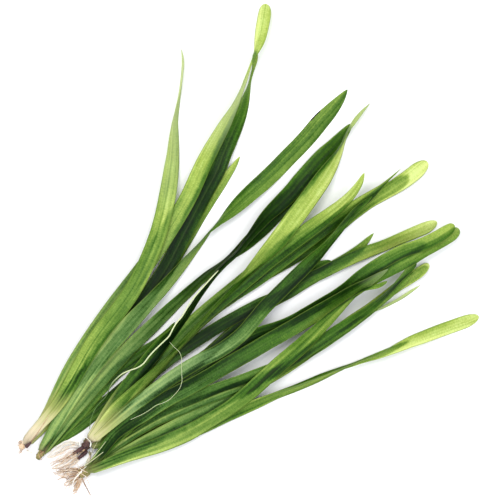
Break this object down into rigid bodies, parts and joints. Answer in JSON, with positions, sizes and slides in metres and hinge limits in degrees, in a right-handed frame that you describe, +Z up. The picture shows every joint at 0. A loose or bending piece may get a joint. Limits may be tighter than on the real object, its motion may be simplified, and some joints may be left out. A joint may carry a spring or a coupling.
{
  "type": "bare-root vallisneria clump",
  "caption": "Freshly pulled clump of tape grass lying on its side: long ribbon leaves fanned out from short crowns with runners and pale matted roots.",
  "frame": {"origin": "middle of the clump's box, on the surface that it lies on", "axes": "+Z up from the surface; the leaves point from the crowns towards +X and +Y"},
  "size_m": [0.368, 0.3948, 0.0243],
  "materials": {
    "leaf": "moist leaf, soft gloss",
    "leaf_dark": "moist leaf, soft gloss",
    "pale_stem": "pale green-white stem",
    "root": "cream to tan root fibre",
    "crown_tan": "tan rhizome skin",
    "crown_olive": "olive rhizome skin",
    "crown_brown": "dark brown rhizome skin"
  },
  "bodies": {
    "root": {"crown_1": "crown_tan", "crown_1_bud": "crown_brown", "crown_2": "crown_olive", "crown_3": "crown_brown", "crown_3_stub_a": "crown_brown", "crown_3_stub_b": "crown_brown", "crown_4": "crown_olive", "flower_stalk": "pale_stem", "plant_1_leaf_dark": "leaf_dark", "plant_1_leaf_lime": "leaf", "plant_1_leaf_short": "leaf", "plant_1_leaf_wide": "leaf", "plant_2_leaf_long": "leaf", "plant_2_leaf_low": "leaf", "plant_2_leaf_short": "leaf", "plant_2_leaf_under": "leaf", "plant_3_leaf_bright": "leaf", "plant_3_leaf_dark": "leaf_dark", "plant_3_leaf_far": "leaf", "plant_3_leaf_first": "leaf", "plant_3_leaf_glossy": "leaf", "plant_3_leaf_long": "leaf", "plant_3_leaf_low": "leaf", "plant_3_leaf_mid": "leaf", "plant_3_leaf_round": "leaf", "plant_3_leaf_short": "leaf", "plant_3_leaf_twin": "leaf", "plant_3_leaf_yellow": "leaf", "plant_4_leaf_dark_a": "leaf_dark", "plant_4_leaf_dark_b": "leaf_dark", "plant_4_leaf_edge_a": "leaf", "plant_4_leaf_edge_b": "leaf", "plant_4_leaf_far_a": "leaf", "plant_4_leaf_far_b": "leaf", "plant_4_leaf_green": "leaf", "plant_4_leaf_lone": "leaf", "plant_4_leaf_lone_small": "leaf", "plant_4_leaf_low_a": "leaf", "plant_4_leaf_low_b": "leaf", "plant_4_leaf_narrow": "leaf", "plant_4_leaf_side": "leaf", "plant_4_leaf_thin": "leaf", "plant_4_leaf_top": "leaf", "root_arch": "root", "root_brown": "root", "root_hair_a": "root", "root_hair_b": "root", "root_hair_c": "root", "root_lock_1": "root", "root_lock_2": "root", "root_lock_3": "root", "root_lock_4": "root", "root_lock_5": "root", "root_loop": "root", "root_tan": "root", "root_thread": "pale_stem", "root_white": "root", "runner_1_2": "pale_stem", "runner_2_3": "pale_stem", "runner_3_4": "pale_stem"}
  },
  "joints": []
}
